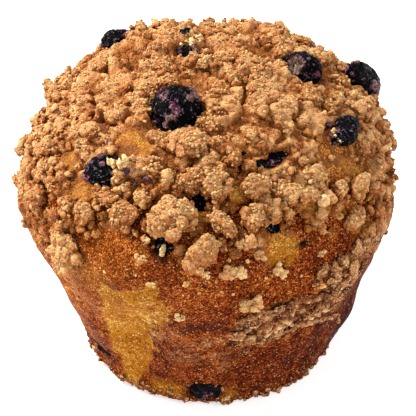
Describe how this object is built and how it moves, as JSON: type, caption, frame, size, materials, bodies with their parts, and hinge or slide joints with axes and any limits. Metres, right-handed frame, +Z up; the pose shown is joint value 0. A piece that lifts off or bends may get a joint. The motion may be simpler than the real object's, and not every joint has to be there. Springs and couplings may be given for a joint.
{
  "type": "muffin",
  "caption": "Bakery muffin with a domed crumb-topped crown, tapering wall, flat base and berries baked into it.",
  "frame": {"origin": "bottom centre of the bounding box, in the plane of the flat base", "axes": "+Z up through the top of the crown; -Y towards the front, the side with the bare crust and the torn ledge"},
  "size_m": [0.0939, 0.091, 0.0806],
  "materials": {
    "cake": "matte baked crumb and crust",
    "berry": "satin wrinkled skin"
  },
  "bodies": {
    "root": {"muffin": "cake", "berry_crest": "berry", "berry_crushed": "berry", "berry_large": "berry", "berry_left": "berry", "berry_back_right": "berry", "berry_edge_right": "berry", "berry_right": "berry", "berry_hidden": "berry", "berry_crevice": "berry", "berry_hollow": "berry", "berry_speck": "berry", "berry_base": "berry", "berry_base_left": "berry", "berry_rear": "berry", "berry_rear_left": "berry"}
  },
  "joints": []
}
